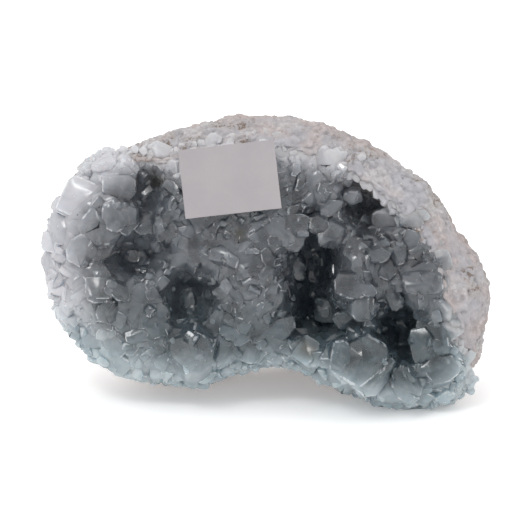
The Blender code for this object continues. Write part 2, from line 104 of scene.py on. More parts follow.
# The bed of crystals
FACE_OUT, FACE_FULLNESS = 10.5, 3.2
EDGE_BEHIND_RIM = 0.5
RELIEF_REACH, RELIEF_FALL = 5, 1.4  # where a pocket's shape ends, and how squarely it falls off
BED_INSET, BED_BITE, BED_BACK = 0.9, 1.8, 2.5
EVEN_EDGE = 0.25
DEEPEST = 24.0
SUNK = 0.9  # how far the fine bed lies below the plain one, to leave room for fine crystals
FLOOR_GAP = 0.4

# Pockets (below 0) and swellings of the bed: (across, up, half width, half height, out)
SHAPES_OF_THE_BED = (
    (13.0, -2.0, 6.5, 13.0, -21.0),  # the deep pocket
    (15.5, -15.5, 9.5, 5.5, -13.0),  # its foot
    (28.5, 17.0, 8.5, 8.5, -15.0),  # the pocket at the upper right
    (36.0, -17.5, 6.5, 8.5, -17.0),  # the pocket at the lower right
    (-20.0, -9.0, 6.5, 7.5, -11.5),  # the pocket at the left of the middle
    (-34.0, 2.0, 8.5, 5.5, -9.0),  # the shallow hollow at the left
    (-30.5, 19.5, 4.5, 8.0, -8.0),  # the cleft at the upper left
    (-46.0, 12.0, 11.0, 12.0, 3.5),  # the left lobe
    (-43.0, -10.0, 9.0, 7.0, 3.0),  # the knuckle under it
    (-2.0, 4.0, 11.0, 17.0, 4.0),  # the middle ridge
    (22.5, -6.5, 5.5, 8.0, 5.5),  # the knob between two pockets
    (24.0, -24.0, 16.0, 7.0, 4.0),  # the shelf of large crystals
    (44.0, -2.0, 9.0, 14.0, 2.0),  # the right flank
    (-9.0, 22.0, 15.0, 10.0, 2.6),  # behind the tag, where the solid has longer crystals
)

SEED = 11
SEED_OF_GROWTH, SEED_OF_STEPS, SEED_OF_FINE, SEED_OF_RIM = (SEED + more for more in (2, 3, 4, 5))
SEED_OF_HABITS = 100


def smooth(value):
    """0 below 0, 1 above 1, and an even S between them."""
    value = min(1.0, max(0.0, value))
    return value * value * (3 - 2 * value)


def mix(a, b, share):
    return a + (b - a) * share


def in_model(place):
    return FACE_CENTRE + (ACROSS * place[0] + UP * place[1] + OUT * place[2]) * MM


def on_face(point):
    """A place in the frame as (across, up, out) on the face, in millimetres."""
    way = (point - FACE_CENTRE) / MM
    return Vector((way.dot(ACROSS), way.dot(UP), way.dot(OUT)))


def outline_table(steps=10):
    """Angles and radii of a smooth closed curve through the outline's points."""
    points = np.array(OUTLINE)
    found = []
    for i in range(len(points)):
        a, b, c, d = (points[(i + k) % len(points)] for k in (-1, 0, 1, 2))
        for t in np.arange(steps) / steps:
            bend = (3 * b - a - 3 * c + d) * t**3 + (2 * a - 5 * b + 4 * c - d) * t**2
            found.append((bend + (c - a) * t + 2 * b) / 2)
    found = np.array(found)
    angles = np.arctan2(found[:, 1], found[:, 0])
    order = np.argsort(angles)
    return angles[order], np.hypot(found[:, 0], found[:, 1])[order]


ANGLES, RADII = outline_table()


def covered(theta):
    """1 where the rind comes round to the front, 0 where the crystals reach the edge."""
    degrees = (math.degrees(theta) + 180) % 360 - 180
    forward, back = (
        smooth((degrees - start) / (end - start)) for start, end in (COVERED_FROM, COVERED_TO)
    )
    return forward * (1 - back)


def rim_out(theta):
    return mix(RIM_OUT_BARE, RIM_OUT_COVERED, covered(theta))


def rind_radius(theta):
    outline = float(np.interp(theta, ANGLES, RADII, period=2 * math.pi))
    return outline - CRYSTAL_OVERHANG * (1 - covered(theta))


def rim_radius(theta):
    """The radius of the rind's outside at its rim."""
    out = rim_out(theta)
    depth, fullness = (
        (FRONT_DEPTH, FRONT_FULLNESS) if out > 0 else (BACK_DEPTH, BACK_FULLNESS)
    )
    return rind_radius(theta) * (1 - (abs(out) / depth) ** fullness) ** (1 / fullness)


def bowl_radius(theta):
    """The radius of the bowl inside the rind, at the rim."""
    return rim_radius(theta) - mix(WALL_BARE, RIM_WIDTH, covered(theta))


def around_face(theta, radius, out):
    return Vector((radius * math.cos(theta), radius * math.sin(theta), out))


def bowl_point(theta, turn):
    """The bed's back, inside the rind's wall: turn 0 is the rim, a quarter turn the floor."""
    power = 2 / BACK_FULLNESS
    top = rim_out(theta)
    depth = BACK_DEPTH - WALL_BACK + top
    radius = bowl_radius(theta) * max(0.0, math.cos(turn)) ** power + BED_BITE
    return around_face(theta, radius, top - depth * math.sin(turn) ** power - BED_BACK)


def bed_relief(across, up):
    """How far the pockets and swellings move the bed at a place on the face."""
    total = 0.0
    for x, y, half_width, half_height, out in SHAPES_OF_THE_BED:
        reach = ((across - x) / half_width) ** 2 + ((up - y) / half_height) ** 2
        if reach < RELIEF_REACH:
            total += out * math.exp(-(reach**RELIEF_FALL))
    return max(total, -DEEPEST)


def bed_radius(theta):
    bare = rim_radius(theta) - BED_INSET
    return mix(bare, bowl_radius(theta) + BED_BITE, covered(theta))


def bed_point(theta, share):
    """A point of the bed's front: share 0 is the middle of the face and 1 its edge."""
    power = 2 / FACE_FULLNESS
    turn = share * math.pi / 2
    radius = bed_radius(theta) * math.sin(turn) ** power
    edge = rim_out(theta) - EDGE_BEHIND_RIM
    out = edge + (FACE_OUT - edge) * max(0.0, math.cos(turn)) ** power
    point = around_face(theta, radius, out)
    point.z += bed_relief(point.x, point.y) * smooth((1 - share) / EVEN_EDGE)
    return point


def bed_normal(theta, share, step=0.02):
    share = min(1 - step, max(step, share))
    around = bed_point(theta + step, share) - bed_point(theta - step, share)
    outward = bed_point(theta, share + step) - bed_point(theta, share - step)
    return outward.cross(around).normalized()


def bed_share(across, up):
    """The angle and the share at which the bed's front has a place on the face."""
    theta = math.atan2(up, across)
    share = (math.hypot(across, up) / bed_radius(theta)) ** (FACE_FULLNESS / 2)
    return theta, math.asin(min(0.999, share)) / (math.pi / 2)


def alone(made):
    """Selects one object and nothing else."""
    bpy.ops.object.select_all(action="DESELECT")
    made.select_set(True)
    bpy.context.view_layer.objects.active = made


def apply_modifier(made, kind, **settings):
    modifier = made.modifiers.new(kind.lower(), kind)
    for name, value in settings.items():
        setattr(modifier, name, value)
    alone(made)
    bpy.ops.object.modifier_apply(modifier=modifier.name)


def joined(made):
    """Joins objects into the first of them."""
    bpy.ops.object.select_all(action="DESELECT")
    for one in made:
        one.select_set(True)
    bpy.context.view_layer.objects.active = made[0]
    bpy.ops.object.join()
    return made[0]


def face_values(made, **values):
    """Gives every face of a mesh these numbers, which the material reads."""
    for name, value in values.items():
        kept = made.data.attributes.get(name)
        if kept is None:
            kept = made.data.attributes.new(name, "FLOAT", "FACE")
        kept.data.foreach_set("value", np.full(len(made.data.polygons), value, np.float32))


# The crystals' habits: how steeply the roof slopes to its sides and to its ends, how much
# of the flat top is left, how deeply the upright corners are cut, and how many of them
HABITS = (
    (22, 28, 0.20, 0.16, 4),
    (14, 36, 0.18, 0.20, 3),
    (30, 22, 0.14, 0.14, 2),
    (12, 20, 0.26, 0.18, 4),
    (26, 38, 0.10, 0.16, 3),
    (20, 16, 0.24, 0.12, 2),
    (34, 30, 0.06, 0.18, 4),
    (10, 30, 0.24, 0.14, 3),
    (18, 24, 0.16, 0.22, 4),
    (38, 26, 0.04, 0.14, 2),
    (24, 44, 0.08, 0.20, 3),
    (16, 18, 0.20, 0.10, 4),
    (38, 36, 0.02, 0.12, 4),  # the pointed one, which only chosen crystals have
    (50, 50, 0.30, 0.10, 4),  # the flat one, for glints
)
POINTED, GLINTING = 12, 13
CORNER_ANGLES = (24, 66)  # degrees
CORNER_DEPTHS = (0.3, 1.9)
ROOF_DRIFT = 9  # degrees
FLAT_DRIFT = (-0.2, 1.4)
SHARP = math.radians(38)
BEVEL = 0.048
RIM_LONG, RIM_THIN = 4, 1.6  # how long and how thin a face is, in bevels, to count as a rim
ROUNDED = math.radians(36)

BED_AROUND, BED_RINGS, BOWL_RINGS = 120, 44, 6
BED_FILL = 0.1  # how far the bed rises between its crystals
BY_THE_WALL, WALL_MARGIN, FLOOR_MARGIN = 0.9, 0.3, 4  # what of the bed lies in the rind's bowl
# small crystals get part of the rims' frost and painted edge highlight all over
HALF_RIM = 0.2  # the rim value of the small crystals, which have no bevels
# A sphere's faces come in a new order on each run, so they are sorted by how far they lie
# from this place, for the crystals to grow in the same places every time
SORTED_FROM = (0.11, 0.07, 0.05)

# How wide the crystals are at places on the face: (across, up, half width, half height, more)
PLAIN_WIDTH = 6.3
WIDTHS = (
    (-46.0, 12.0, 12.0, 13.0, 4.2),  # the left lobe
    (-2.0, 2.0, 13.0, 17.0, -0.2),  # the middle ridge
    (8.0, 31.0, 46.0, 7.0, -2.6),  # under the rind along the top
    (24.0, -26.0, 14.0, 9.0, 3.0),  # the shelf
    (44.0, -24.0, 10.0, 12.0, 2.0),  # low on the right
    (-28.0, -24.0, 16.0, 8.0, 1.0),  # low on the left
    (42.0, 2.0, 8.0, 14.0, 1.2),  # the right flank
)

# Small clear crystals that glint: (across, up, width, reach)
GLINTS = (
    (-18.2, -21.6, 4.4, 11.2),
    (-32.3, 23.0, 3.4, 2.6),
    (20.2, 24.4, 3.6, 3.6),
    (-30.2, -12.4, 3.2, 2.0),
    (9.8, 14.6, 2.6, 2.2),
    (-10.6, 0.4, 2.0, 1.8),
    (-6.0, 11.0, 1.8, 1.4),
)
# Flat-topped crystals that carry the tag: (across, up, width)
UNDER_THE_TAG = (
    (-18.0, 27.5, 6.0), (-9.5, 28.5, 6.5), (-0.5, 28.5, 6.0),
    (-18.5, 20.5, 6.0), (-10.5, 21.5, 7.0), (-1.0, 21.5, 6.5),
    (-17.0, 14.8, 5.0), (-8.0, 15.6, 6.0), (0.5, 15.8, 5.5),
)
UNDER_THE_TAG_DEPTH, UNDER_THE_TAG_TURN = 0.9, 0.3
TAG_OUT, TAG_MIDDLE, TAG_HEAD = 15.3, -12, 27  # where the tag's back lies
TAG_CURL, TAG_TILT = 0.003, 0.035
TAG_GAP = 0.4
BEHIND_THE_TAG = (-23.8, 5.8, 10.4, 33.6)  # from and to across, from and to up
TO_THE_LAMP = Vector((-0.16, 0.305, 1.0))
GLINT_SPIN = 0.4

# Crystals that stand out: (across, up, width, thickness, reach, right, rise, spin, habit)
CHOSEN = (
    (-18.3, -22.6, 11.5, 10.5, 10.0, 0.00, 0.55, 42, POINTED),  # below the left pocket
    (25.0, -25.0, 13.5, 12.0, 5.2, 0.02, -0.05, 38, 3),  # the widest, on the shelf
    (20.8, -25.5, 10.5, 9.0, 4.4, -0.12, -0.08, 12, 8),
    (28.0, -29.5, 11.0, 9.0, 5.0, 0.10, -0.10, 6, 0),
    (36.9, -31.0, 10.5, 8.0, 4.4, 0.15, -0.20, 82, 0),  # beside it
    (33.5, -33.0, 8.0, 7.0, 3.4, 0.05, -0.30, 70, 2),
    (3.0, -17.0, 10.5, 7.5, 1.2, 0.00, 0.30, 4, 1),  # the foot of the middle ridge
    (9.5, -18.0, 9.5, 7.0, 1.0, 0.05, 0.25, 8, 0),
    (42.5, -21.5, 9.5, 8.0, 3.0, -0.15, 0.05, 30, 5),  # the group low on the right
    (49.5, -18.0, 8.0, 7.5, 2.0, 0.10, 0.15, 70, 2),
    (46.5, -27.5, 8.5, 8.0, 2.2, 0.10, -0.20, 12, 3),
    (22.6, -5.8, 9.0, 8.0, 3.6, 0.05, 0.20, 20, 8),  # the knob between two pockets
    (17.4, -12.4, 7.2, 6.5, 3.6, -0.30, -0.15, 60, 5),
    (21.3, -14.5, 6.8, 6.0, 4.2, 0.00, -0.45, 5, 8),
    (25.8, -11.0, 8.0, 7.5, 3.4, 0.25, -0.20, 40, 0),
    (34.0, -9.0, 7.0, 4.8, 4.2, -0.20, -0.10, 8, 8),  # the pale drop
    (30.0, 2.1, 5.4, 5.0, 5.0, 0.00, 0.10, 25, 8),  # a small bright one
    (17.9, 8.8, 8.0, 7.4, 6.0, 0.00, -0.45, 10, 3),  # hanging over the deep pocket
    (22.9, 20.0, 5.2, 4.6, 6.5, 0.10, -0.75, 15, 8),  # hanging at the upper right pocket
    (16.8, 25.0, 10.0, 8.6, 2.2, 0.00, -0.15, 78, 4),
    (6.8, 8.4, 10.0, 8.0, 3.2, 0.20, -0.10, 12, 5),  # left of the deep pocket
    (8.4, -1.0, 7.0, 6.2, 2.6, 0.35, 0.00, 50, 8),
    (-48.5, 17.0, 10.5, 10.0, 1.0, -0.15, 0.15, 20, 5),  # the left lobe
    (-42.5, 9.5, 11.0, 10.0, 2.2, 0.05, 0.05, 6, 4),
    (-39.0, 12.5, 8.5, 8.0, 2.2, 0.15, 0.05, 10, 0),
    (-38.1, 19.0, 9.0, 8.4, 1.6, 0.10, 0.15, 35, 1),
    (-47.3, 3.6, 9.5, 8.5, 1.8, 0.00, -0.15, 62, 0),
    (-42.0, 3.8, 7.5, 6.5, 1.8, 0.10, -0.20, 60, 8),
    (-35.5, 11.0, 7.5, 6.5, 2.0, 0.30, 0.00, 12, 8),
    (-53.0, 8.7, 9.0, 8.0, 0.9, -0.25, 0.00, 80, 2),
    (-43.5, -7.0, 7.0, 6.0, 3.2, 0.05, 0.20, 15, 5),  # the knuckle under it
    (-38.0, -7.5, 6.0, 5.4, 3.0, 0.30, 0.10, 55, 8),
    (-41.0, -12.5, 6.6, 6.0, 2.6, 0.10, -0.10, 30, 0),
    (45.9, 0.3, 7.2, 6.4, 2.4, 0.10, 0.05, 88, 3),  # the right flank
    (35.6, 2.9, 6.6, 5.6, 2.8, -0.10, 0.00, 20, 1),
    (32.9, 10.5, 8.6, 8.0, 2.6, -0.15, 0.05, 40, 5),
    (41.5, -5.0, 10.5, 7.0, 2.6, 0.00, -0.10, 8, 3),
    (40.3, 12.1, 6.4, 5.8, 2.0, 0.10, 0.20, 33, 8),
)

TRIES = 11000
TOWARDS_EDGE = 0.6  # below 1, more of the places that are tried lie by the edge
HOLLOW_DEPTH = 10  # how low the bed lies where a pocket counts in full
OUTER_FROM, OUTER_OVER = 0.7, 0.2
SPACING = 0.54
WIDTH_RANGE = (0.62, 1.45)
THICKNESS_RANGE = (0.60, 0.98)
REACH = (0.04, 0.22)
ROOTED = 0.75
TILT = 0.27
FORWARD = 0.30
IN_POCKETS = 0.7
AT_THE_EDGE, BY_THE_RIND, OUTERMOST = 0.50, 0.35, 0.80
EDGE_OUT = 2.6

# Lower blocks grown against a crystal: how many, how large and how much lower
STEPS = (0, 1, 1, 2)
STEP_SHARE = (0.42, 0.68)
STEP_ASIDE = (-0.5, 0.5)
STEP_DOWN = (0.02, 0.13)

# Small crystals on the larger ones
FINE_TRIES = 5000
FINE_CELL = 4.5
FINE_SPACING = 0.9
FINE_WIDTH = (1.5, 3.6)
FINE_REACH = (0.06, 0.32)
FINE_PLAIN = 0.03
FINE_PLACES = (
    (0.0, 2.0, 14.0, 18.0, 0.22),  # the middle ridge
    (10.0, 30.0, 48.0, 6.0, 0.6),  # under the rind along the top
    (46.0, -8.0, 9.0, 20.0, 0.04),  # the right flank
    (-30.0, -14.0, 14.0, 12.0, 0.05),  # low on the left
)
BACKWARDS = -0.3

# Low crystals over the rind's rim, and how far in they begin
RIM_TRIES = 5000
RIM_WIDTHS = (2.2, 4.6)
RIM_INWARD = (-2.4, 3.6)
RIM_REACH = (-0.12, 0.02)
RIM_SPACING = 0.5
RIM_FROM, RIM_TO = -40, 165  # the angles on the face, in degrees, between which they grow
RIM_BEHIND, RIM_DROP = 0.25, 1.2  # how far behind the rim they stand, and more outside it
RIM_LEAN, RIM_LEANS_OVER, RIM_CALM, RIM_THICKNESS = 0.5, 3, 0.6, 0.85


def width_at(across, up):
    total = PLAIN_WIDTH
    for x, y, half_width, half_height, more in WIDTHS:
        reach = ((across - x) / half_width) ** 2 + ((up - y) / half_height) ** 2
        total += more * math.exp(-reach)
    return total


def fineness(across, up):
    """The share of places with small crystals on the larger ones."""
    total = FINE_PLAIN
    for x, y, half_width, half_height, more in FINE_PLACES:
        reach = ((across - x) / half_width) ** 2 + ((up - y) / half_height) ** 2
        total += more * math.exp(-reach)
    return total


def random_lean(draw):
    return Vector([draw.uniform(-TILT, TILT) for _ in range(3)])


def too_near(root, width, sites, spacing):
    return any((root - at).length < spacing * (width + wide) / 2 for at, _, wide, *_ in sites)


def crystal_sites():
    """Where the larger crystals stand: (root, way, width, thickness, length, spin, habit)."""
    draw = random.Random(SEED)
    sites = []
    for x, y, width, thick, reach, right, rise, spin, habit in CHOSEN:
        way = Vector((right, rise, 1.0)).normalized()
        root = bed_point(*bed_share(x, y)) - SUNK * OUT_OF_FACE
        sites.append((root, way, width, thick, reach, math.radians(spin), habit))
    for _ in range(TRIES):
        theta = draw.uniform(-math.pi, math.pi)
        share = draw.random() ** TOWARDS_EDGE
        chance, spin = draw.random(), draw.uniform(0, math.pi)
        habit = draw.randrange(POINTED)
        lean = random_lean(draw)
        reach = draw.uniform(*REACH)
        root = bed_point(theta, share) - SUNK * OUT_OF_FACE
        hollow = smooth(-bed_relief(root.x, root.y) / HOLLOW_DEPTH)
        outer = smooth((share - OUTER_FROM) / OUTER_OVER)
        calm = mix(1, AT_THE_EDGE, outer) * mix(1, BY_THE_RIND, outer * covered(theta))
        width = width_at(root.x, root.y) * mix(*WIDTH_RANGE, chance * chance)
        width *= mix(1, IN_POCKETS, hollow) * mix(1, OUTERMOST, outer)
        if too_near(root, width, sites, SPACING):
            continue
        way = (bed_normal(theta, share) + FORWARD * OUT_OF_FACE + calm * lean).normalized()
        thick = width * draw.uniform(*THICKNESS_RANGE)
        length = width * calm * reach + EDGE_OUT * outer * (1 - covered(theta))
        sites.append((root, way, width, thick, length, spin, habit))
    return sites


def tag_back(across, up):
    """How far out the back of the slightly bent tag lies."""
    return TAG_OUT + TAG_CURL * (across - TAG_MIDDLE) ** 2 + TAG_TILT * (TAG_HEAD - up)


def tag_sites():
    """Where the crystals stand that the tag is stuck to."""
    sites = []
    for x, y, width in UNDER_THE_TAG:
        root = bed_point(*bed_share(x, y)) - SUNK * OUT_OF_FACE
        length = tag_back(x, y) - TAG_GAP - root.z
        thick, spin = UNDER_THE_TAG_DEPTH * width, UNDER_THE_TAG_TURN * len(sites)
        sites.append((root, OUT_OF_FACE, width, thick, length, spin, GLINTING))
    return sites


def clear_of_tag(sites):
    """Leaves out the crystals that would come through the tag."""
    left, right, foot, head = BEHIND_THE_TAG
    kept = []
    for site in sites:
        root, way, width, _, length, *_ = site
        tip = root + way * length
        top = tip.z + 0.5 * width * math.hypot(way.x, way.y)
        behind = left < tip.x < right and foot < tip.y < head
        if not behind or top < tag_back(tip.x, tip.y) - TAG_GAP:
            kept.append(site)
    return kept


def glint_sites():
    """Where the small crystals stand whose flat tops mirror the spot lamp."""
    sites = []
    for x, y, width, reach in GLINTS:
        root = bed_point(*bed_share(x, y)) - SUNK * OUT_OF_FACE
        sites.append((root, TO_THE_LAMP.normalized(), width, width, reach, GLINT_SPIN, GLINTING))
    return sites


def steps_on(sites):
    """Lower blocks that grew against the larger crystals, turned the same way."""
    draw = random.Random(SEED_OF_STEPS)
    steps = []
    for root, way, width, thick, length, spin, habit in sites:
        for _ in range(draw.choice(STEPS)):
            share = draw.uniform(*STEP_SHARE)
            turned = way.to_track_quat("Z", "Y").to_matrix() @ Matrix.Rotation(spin, 3, "Z")
            aside, along = draw.uniform(*STEP_ASIDE) * width, draw.uniform(*STEP_ASIDE) * thick
            place = root + turned @ Vector((aside, along, 0))
            lower = length - draw.uniform(*STEP_DOWN) * width
            steps.append((place, way, share * width, share * thick, lower, spin, habit % POINTED))
    return steps


def random_place(face, crust, draw):
    """A place on one of the crust's faces, on the face of the geode."""
    corners = [crust.data.vertices[k].co for k in face.vertices]
    first = min(range(len(corners)), key=lambda k: tuple(corners[k]))
    corners = corners[first:] + corners[:first]
    start = draw.randrange(1, len(corners) - 1)
    a, b = sorted((draw.random(), draw.random()))
    return on_face(corners[0] * a + corners[start] * (b - a) + corners[start + 1] * (1 - b))


def fine_sites(crust):
    """Where the small crystals stand, on what has grown so far."""
    draw = random.Random(SEED_OF_FINE)
    hidden = crust.data.attributes["back"].data
    faces = [face for face in crust.data.polygons if hidden[face.index].value < 0.5]
    faces.sort(key=lambda face: tuple(face.center))
    shares = np.cumsum([face.area for face in faces])
    sites, cells = [], {}
    for _ in range(FINE_TRIES):
        face = faces[int(np.searchsorted(shares, draw.random() * shares[-1]))]
        root = random_place(face, crust, draw)
        chance, spin = draw.random(), draw.uniform(0, math.pi)
        habit = draw.randrange(POINTED)
        lean = random_lean(draw)
        reach = draw.uniform(*FINE_REACH)
        if draw.random() > fineness(root.x, root.y):
            continue
        width = mix(*FINE_WIDTH, chance * chance)
        cell = tuple(int(math.floor(value / FINE_CELL)) for value in root)
        near = [
            other
            for step in itertools.product((-1, 0, 1), repeat=3)
            for other in cells.get(tuple(c + s for c, s in zip(cell, step)), ())
        ]
        normal = FACE_TO_MODEL.transposed() @ face.normal
        if normal.z < BACKWARDS or too_near(root, width, near, FINE_SPACING):
            continue
        way = (normal + 2 * FORWARD * OUT_OF_FACE + lean).normalized()
        thick = width * draw.uniform(*THICKNESS_RANGE)
        sites.append((root, way, width, thick, width * reach, spin, habit))
        cells.setdefault(cell, []).append(sites[-1])
    return sites


def rim_sites():
    """Low crystals over the rind's rim, where it comes round to the front."""
    draw = random.Random(SEED_OF_RIM)
    sites = []
    for _ in range(RIM_TRIES):
        theta = math.radians(draw.uniform(RIM_FROM, RIM_TO))
        inward = draw.uniform(*RIM_INWARD)
        chance, spin = draw.random(), draw.uniform(0, math.pi)
        habit = draw.randrange(POINTED)
        lean = random_lean(draw)
        reach = draw.uniform(*RIM_REACH)
        if draw.random() > covered(theta):
            continue
        width = mix(*RIM_WIDTHS, chance * chance)
        out = rim_out(theta) - RIM_BEHIND - RIM_DROP * smooth(-inward)
        root = around_face(theta, rim_radius(theta) - inward, out)
        if too_near(root, width, sites, RIM_SPACING):
            continue
        outward = around_face(theta, RIM_LEAN * smooth(1 - inward / RIM_LEANS_OVER), 1.0)
        way = (outward + RIM_CALM * lean).normalized()
        sites.append((root, way, width, width * RIM_THICKNESS, width * reach, spin, habit))
    return sites


def crystal_habit(number, sides, ends, flat, corner, corners):
    """One crystal a unit across and high: a block with cut corners and a roofed top."""
    draw = random.Random(SEED_OF_HABITS + number)
    bpy.ops.object.select_all(action="DESELECT")
    bpy.ops.mesh.primitive_cube_add(size=1)
    crystal = bpy.context.object
    crystal.name = f"habit_{number}"
    cuts = []
    for side, end in ((-1, -1), (1, 1), (-1, 1), (1, -1))[:corners]:
        angle = math.radians(draw.uniform(*CORNER_ANGLES))
        normal = Vector((side * math.cos(angle), end * math.sin(angle), 0))
        reach = 0.5 * (math.cos(angle) + math.sin(angle)) - corner * draw.uniform(*CORNER_DEPTHS)
        cuts.append((normal * reach, normal))
    for axis, slope in ((0, sides), (1, ends)):
        for way in (-1, 1):
            tilt = math.radians(slope + draw.uniform(-ROOF_DRIFT, ROOF_DRIFT))
            normal = Vector((0, 0, math.cos(tilt)))
            normal[axis] = way * math.sin(tilt)
            start = Vector((0, 0, 0.5))
            start[axis] = way * flat * draw.uniform(*FLAT_DRIFT)
            cuts.append((start, normal))
    bpy.ops.object.mode_set(mode="EDIT")
    for point, normal in cuts:
        bpy.ops.mesh.select_all(action="SELECT")
        bpy.ops.mesh.bisect(plane_co=point, plane_no=normal, use_fill=True, clear_outer=True)
    bpy.ops.mesh.select_all(action="SELECT")
    bpy.ops.mesh.normals_make_consistent(inside=False)
    bpy.ops.object.mode_set(mode="OBJECT")
    return crystal


def longest_edge(mesh, face):
    return max((mesh.vertices[a].co - mesh.vertices[b].co).length for a, b in face.edge_keys)


def with_rims(crystal):
    """A copy with its edges bevelled, whose bevels the material reads as rims."""
    copy = crystal.copy()
    copy.data = crystal.data.copy()
    bpy.context.collection.objects.link(copy)
    face_values(copy, rim=0.0)
    alone(copy)
    bpy.ops.object.mode_set(mode="EDIT")
    bpy.ops.mesh.select_mode(type="EDGE")
    bpy.ops.mesh.select_all(action="DESELECT")
    bpy.ops.mesh.edges_select_sharp(sharpness=SHARP)
    bpy.ops.mesh.bevel(offset=BEVEL, segments=1, affect="EDGES")
    bpy.ops.mesh.select_mode(type="FACE")
    bpy.ops.object.mode_set(mode="OBJECT")
    mesh = copy.data
    longest = [longest_edge(mesh, face) for face in mesh.polygons]
    rims = [
        float(RIM_LONG * BEVEL < length and face.area < RIM_THIN * BEVEL * length)
        for face, length in zip(mesh.polygons, longest)
    ]
    mesh.attributes["rim"].data.foreach_set("value", rims)
    return copy


def site_matrix(site):
    """A unit crystal's place: its foot in the bed, its tip out at the site's length."""
    root, way, width, thick, length, spin, _ = site
    rooted = ROOTED * width
    middle = root + way * (length - rooted) / 2
    turned = way.to_track_quat("Z", "Y").to_matrix() @ Matrix.Rotation(spin, 3, "Z")
    sized = Matrix.Diagonal((width, thick, length + rooted))
    linear = (FACE_TO_MODEL @ turned @ sized) * MM
    return Matrix.Translation(in_model(middle)) @ linear.to_4x4()


def in_groups(sites):
    """The sites in groups of crystals that don't touch each other."""
    groups = []
    for site in sites:
        middle = site[0] + site[1] * (site[4] - ROOTED * site[2]) / 2
        reach = math.hypot(site[2], site[3], site[4] + ROOTED * site[2]) / 2
        for group in groups:
            if all((middle - m).length > reach + r for m, r, _ in group):
                group.append((middle, reach, site))
                break
        else:
            groups.append([(middle, reach, site)])
    return [[site for _, _, site in group] for group in groups]


def grown(habits, sites, draw, gloss):
    """A group of crystals as one object, each with its own tone."""
    made = []
    for site in sites:
        crystal = habits[site[-1]].copy()
        crystal.data = habits[site[-1]].data.copy()
        bpy.context.collection.objects.link(crystal)
        crystal.data.transform(site_matrix(site))
        face_values(crystal, tone=draw.random(), back=0.0, gloss=gloss)
        made.append(crystal)
    return joined(made)


def grow_on(crust, habits, sites, draw, gloss=0.0):
    """Joins crystals to the crust, a group at a time."""
    for group in in_groups(sites):
        cluster = grown(habits, group, draw, gloss)
        apply_modifier(crust, "BOOLEAN", operation="UNION", solver="MANIFOLD", object=cluster)
        bpy.data.objects.remove(cluster)


def is_behind(point):
    """Whether a place of the bed lies in the rind's bowl."""
    place = on_face(point)
    theta = math.atan2(place.y, place.x)
    radius = math.hypot(place.x, place.y)
    low = place.z < rim_out(theta) - BED_BACK + WALL_MARGIN
    by_the_wall = low and radius > BY_THE_WALL * bed_radius(theta)
    return by_the_wall or place.z < WALL_BACK + FLOOR_MARGIN - BACK_DEPTH


def bed_of_crystals():
    """The mass that the crystals grow from: a sphere whose rings take the bed's shape."""
    segments, rings = BED_AROUND, BED_RINGS + BOWL_RINGS + 1
    bpy.ops.object.select_all(action="DESELECT")
    bpy.ops.mesh.primitive_uv_sphere_add(segments=segments, ring_count=rings, radius=1)
    bed = bpy.context.object
    bed.name = "crystals"
    for vertex in bed.data.vertices:
        down = math.acos(max(-1.0, min(1.0, vertex.co.z)))
        ring = down / math.pi * rings
        theta = math.atan2(vertex.co.y, vertex.co.x)
        if ring <= BED_RINGS:
            place = bed_point(theta, ring / BED_RINGS) - (SUNK - BED_FILL) * OUT_OF_FACE
        else:
            place = bowl_point(theta, math.pi / 2 * (ring - BED_RINGS) / (BOWL_RINGS + 1))
            if ring > rings - 0.5:
                place = Vector((0, 0, place.z))
        vertex.co = in_model(place)
    alone(bed)
    bpy.context.scene.cursor.location = SORTED_FROM
    bpy.ops.object.mode_set(mode="EDIT")
    bpy.ops.mesh.select_all(action="SELECT")
    bpy.ops.mesh.normals_make_consistent(inside=False)
    bpy.ops.mesh.sort_elements(type="CURSOR_DISTANCE", elements={"VERT", "EDGE", "FACE"})
    bpy.ops.object.mode_set(mode="OBJECT")
    face_values(bed, rim=0.0, tone=0.5, back=0.0, gloss=0.0)
    hidden = [1.0 if is_behind(face.center) else 0.0 for face in bed.data.polygons]
    bed.data.attributes["back"].data.foreach_set("value", hidden)
    return bed


def crystal_crust():
    draw = random.Random(SEED_OF_GROWTH)
    sharp = [crystal_habit(i, *shape) for i, shape in enumerate(HABITS)]
    habits = [with_rims(crystal) for crystal in sharp]
    for crystal in sharp:
        face_values(crystal, rim=HALF_RIM)
    crust = bed_of_crystals()
    sites = crystal_sites()
    grow_on(crust, habits, tag_sites() + clear_of_tag(sites + steps_on(sites)), draw)
    grow_on(crust, sharp, clear_of_tag(fine_sites(crust) + rim_sites()), draw)
    grow_on(crust, habits, glint_sites(), draw, 1.0)
    alone(crust)
    bpy.ops.object.mode_set(mode="EDIT")
    bpy.ops.mesh.select_all(action="SELECT")
    bpy.ops.mesh.bisect(
        plane_co=(0, 0, FLOOR_GAP * MM), plane_no=(0, 0, -1), use_fill=True, clear_outer=True
    )
    bpy.ops.object.mode_set(mode="OBJECT")
    alone(crust)
    bpy.ops.object.shade_smooth_by_angle(angle=ROUNDED)
    for habit in sharp + habits:
        bpy.data.objects.remove(habit)
    return crust


# How the crust's colour goes: painted shade into the pockets, paler to the edge with painted shade
# in the middle of the face and at listed spots, and chalky to the rind
DEEP_FROM, DEEP_OVER = 3.0, 12.0
EDGE_FROM, EDGE_OVER = 0.30, 0.55
CHALK_INWARD = (0.8, 7.5)
RIMWARD = 13.0
STAINS = (
    (11.5, -22.4, 1.8, 2.2),
    (-6.4, 7.6, 1.4, 1.8),
    (-28.5, 21.5, 2.0, 1.6),
)
